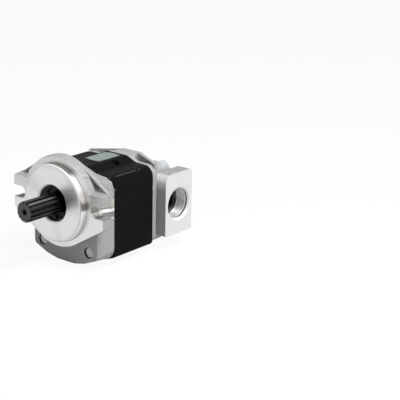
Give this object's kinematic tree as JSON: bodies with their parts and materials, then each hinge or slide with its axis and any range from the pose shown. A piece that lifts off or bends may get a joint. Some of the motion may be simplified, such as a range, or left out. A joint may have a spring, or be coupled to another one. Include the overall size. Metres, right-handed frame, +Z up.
{
  "type": "hydraulic pump",
  "caption": "External gear pump with a two-bolt pilot flange, splined drive shaft, black gear housing and a threaded port on each side of its rear cover.",
  "frame": {"origin": "on the drive shaft's axis, in the plane of the mounting face", "axes": "+Y from the mounting face to the rear cover, along the shaft; +Z up, away from the driven gear; +X to the suction port"},
  "size_m": [0.127, 0.1922, 0.1178],
  "materials": {
    "cast_aluminium": "as-cast, with machined faces",
    "black_paint": "satin black, slightly textured",
    "shaft_steel": "dark hardened and ground",
    "bush_bronze": "plain bearing bronze",
    "plate_bronze": "ground bronze",
    "seal_rubber": "matt nitrile rubber",
    "backup_plastic": "off-white seal plastic",
    "seal_case_steel": "dark coated steel",
    "spring_steel": "bright spring wire",
    "ring_steel": "phosphated spring steel",
    "zinc_steel": "zinc plated",
    "dowel_steel": "ground steel",
    "plate_metal": "satin silver plate, bare",
    "rivet_steel": "small drive pins"
  },
  "bodies": {
    "casing": {"front_cover": "cast_aluminium", "gear_housing": "black_paint", "rear_cover": "cast_aluminium", "drive_front_bush": "bush_bronze", "drive_rear_bush": "bush_bronze", "driven_front_bush": "bush_bronze", "driven_rear_bush": "bush_bronze", "front_thrust_plate": "plate_bronze", "rear_thrust_plate": "plate_bronze", "front_pressure_seal": "seal_rubber", "front_seal_backup": "backup_plastic", "rear_pressure_seal": "seal_rubber", "rear_seal_backup": "backup_plastic", "front_body_seal": "seal_rubber", "rear_body_seal": "seal_rubber", "shaft_seal_case": "seal_case_steel", "shaft_seal_lip": "seal_rubber", "shaft_seal_spring": "spring_steel", "seal_retaining_ring": "ring_steel", "through_bolts": "zinc_steel", "bolt_washers": "zinc_steel", "front_dowels": "dowel_steel", "rear_dowels": "dowel_steel", "nameplate": "plate_metal", "nameplate_rivets": "rivet_steel"},
    "drive": {"drive_gear_shaft": "shaft_steel"},
    "driven": {"driven_gear_shaft": "shaft_steel"}
  },
  "joints": [
    {"name": "drive_spin", "type": "hinge", "parent": "casing", "child": "drive", "pos_m": [0, 0, 0], "axis": [0, 1, 0], "continuous": true},
    {"name": "driven_spin", "type": "hinge", "parent": "casing", "child": "driven", "pos_m": [0, 0, -0.036], "axis": [0, 1, 0], "continuous": true}
  ],
  "couplings": [
    {"joint": "driven_spin", "follows": "drive_spin", "ratio": -1}
  ]
}
